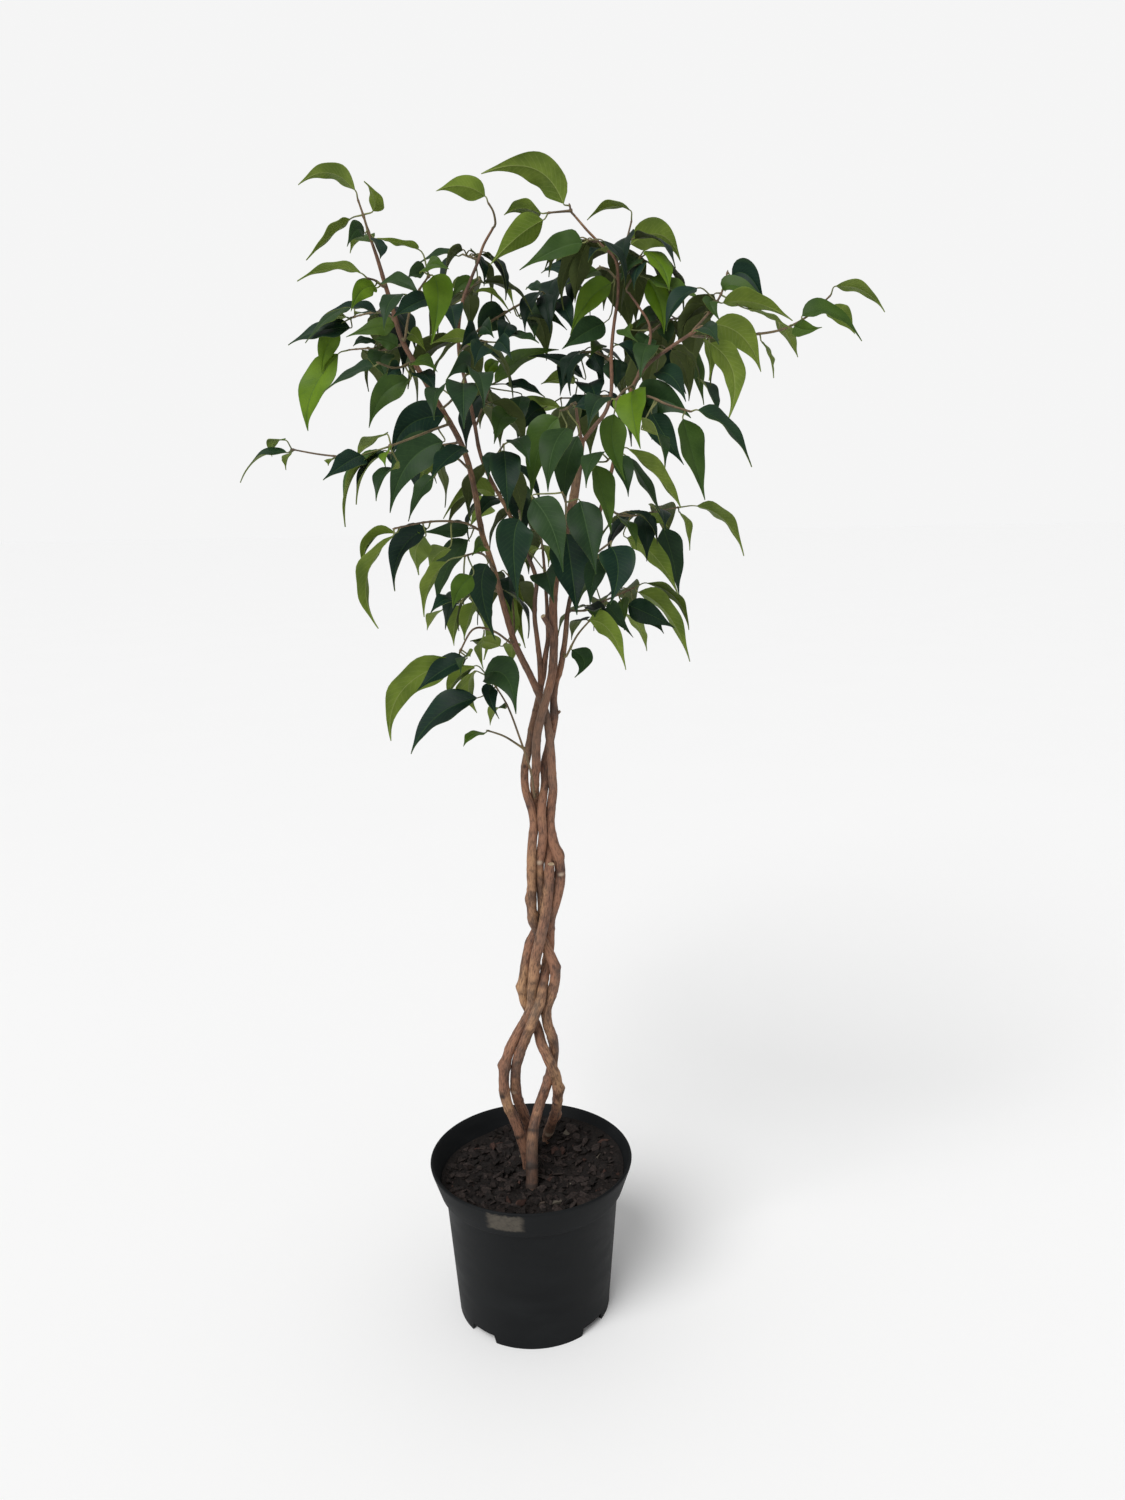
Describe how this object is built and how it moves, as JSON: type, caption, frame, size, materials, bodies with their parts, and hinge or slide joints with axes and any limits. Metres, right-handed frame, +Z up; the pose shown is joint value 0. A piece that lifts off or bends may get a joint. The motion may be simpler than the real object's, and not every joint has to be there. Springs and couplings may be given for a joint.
{
  "type": "potted weeping fig",
  "caption": "Weeping fig tree with a braided trunk and a loose leafy crown, standing in a round nursery pot.",
  "frame": {"origin": "on the pot's axis, on the surface that the pot stands on, at the foot under the middle of its floor", "axes": "+Z up along the trunk, +X to the right and +Y away from the viewer as the plant is seen from its front"},
  "size_m": [0.6246, 0.3396, 1.1395],
  "materials": {
    "pot": "satin",
    "soil": "matte",
    "bark": "matte",
    "foliage": "satin"
  },
  "bodies": {
    "root": {"pot": "pot", "soil": "soil", "spray_bright": "foliage", "spray_centre_back": "foliage", "spray_centre_front": "foliage", "spray_centre_heart": "foliage", "spray_centre_high_back": "foliage", "spray_centre_left_back": "foliage", "spray_centre_left_crest": "foliage", "spray_centre_left_dark": "foliage", "spray_centre_left_front": "foliage", "spray_centre_left_middle": "foliage", "spray_centre_left_side": "foliage", "spray_centre_left_upper": "foliage", "spray_centre_middle": "foliage", "spray_centre_right_front": "foliage", "spray_centre_top": "foliage", "spray_far_left": "foliage", "spray_heart_left": "foliage", "spray_left_behind": "foliage", "spray_left_dark": "foliage", "spray_left_hanging": "foliage", "spray_left_inner": "foliage", "spray_left_low": "foliage", "spray_left_middle": "foliage", "spray_left_tip": "foliage", "spray_left_upper": "foliage", "spray_low_left": "foliage", "spray_low_left_behind": "foliage", "spray_low_left_bright": "foliage", "spray_low_left_hanging": "foliage", "spray_low_left_inner": "foliage", "spray_low_right": "foliage", "spray_low_right_behind": "foliage", "spray_low_twig": "foliage", "spray_lowest_left": "foliage", "spray_right_arm_front": "foliage", "spray_right_arm_inner": "foliage", "spray_right_arm_top": "foliage", "spray_right_end": "foliage", "spray_right_hanging": "foliage", "spray_right_inner_front": "foliage", "spray_right_low_behind": "foliage", "spray_right_top_back": "foliage", "spray_top": "foliage", "spray_top_behind": "foliage", "spray_top_middle": "foliage", "spray_top_right": "foliage", "spray_top_right_crest": "foliage", "stem_back": "bark", "stem_front": "bark", "stem_left": "bark", "stem_right": "bark"}
  },
  "joints": []
}
